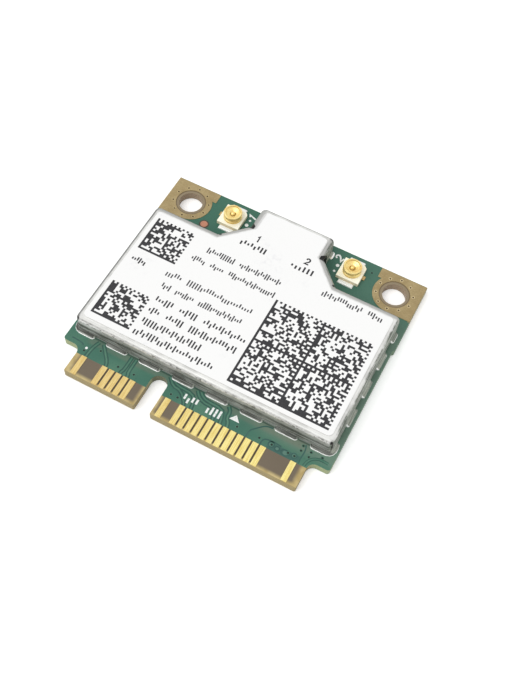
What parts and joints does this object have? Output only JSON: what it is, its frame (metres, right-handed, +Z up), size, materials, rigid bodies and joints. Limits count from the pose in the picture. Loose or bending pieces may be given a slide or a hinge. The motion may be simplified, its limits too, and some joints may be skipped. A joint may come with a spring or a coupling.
{
  "type": "laptop wifi card",
  "caption": "Half-length mini card radio: a green board with a keyed gold contact edge, screw holes at the back, press-on antenna ports and a folded metal shield under a white label.",
  "frame": {"origin": "middle of the bounding box on the plane of the lower contacts and pads, on which the card rests", "axes": "+X across the card to the right with the contact edge in front, +Y from the contact edge to the screw holes, +Z up through the shield"},
  "size_m": [0.03, 0.0268, 0.0033],
  "materials": {
    "laminate": "green solder mask on glass laminate, satin",
    "gold_contact": "thin gold over nickel, smooth",
    "ground_pad": "bare plated copper, dull",
    "copper_mark": "bare copper, dull",
    "lid_metal": "tinned sheet, scuffed",
    "frame_metal": "tinned sheet, dull",
    "solder": "bright solder",
    "label_sheet": "matte printed sheet",
    "antenna_moulding": "moulded cream plastic",
    "antenna_gold": "gold plated, bright",
    "chip_moulding": "moulded black epoxy",
    "crystal_can": "plated cap on ceramic",
    "ferrite": "grey ferrite with tinned ends",
    "capacitor_ceramic": "tan ceramic with tinned ends",
    "resistor_ceramic": "dark film on ceramic with tinned ends"
  },
  "bodies": {
    "root": {"circuit_board": "laminate", "top_contact_fingers": "gold_contact", "bottom_contact_fingers": "gold_contact", "left_top_ground_pad": "ground_pad", "left_bottom_ground_pad": "ground_pad", "right_top_ground_pad": "ground_pad", "right_bottom_ground_pad": "ground_pad", "fiducial_dot": "copper_mark", "shield_frame": "frame_metal", "frame_solder": "solder", "shield_lid": "lid_metal", "lid_label": "label_sheet", "main_antenna_base": "antenna_moulding", "main_antenna_shell": "antenna_gold", "main_antenna_contact": "antenna_gold", "aux_antenna_base": "antenna_moulding", "aux_antenna_shell": "antenna_gold", "aux_antenna_contact": "antenna_gold", "radio_chip": "chip_moulding", "main_front_end_chip": "chip_moulding", "aux_front_end_chip": "chip_moulding", "memory_chip": "chip_moulding", "regulator_chip": "chip_moulding", "reference_crystal": "crystal_can", "power_inductors": "ferrite", "bulk_capacitors": "capacitor_ceramic", "band_filters": "capacitor_ceramic", "decoupling_capacitors": "capacitor_ceramic", "chip_resistors": "resistor_ceramic"}
  },
  "joints": []
}
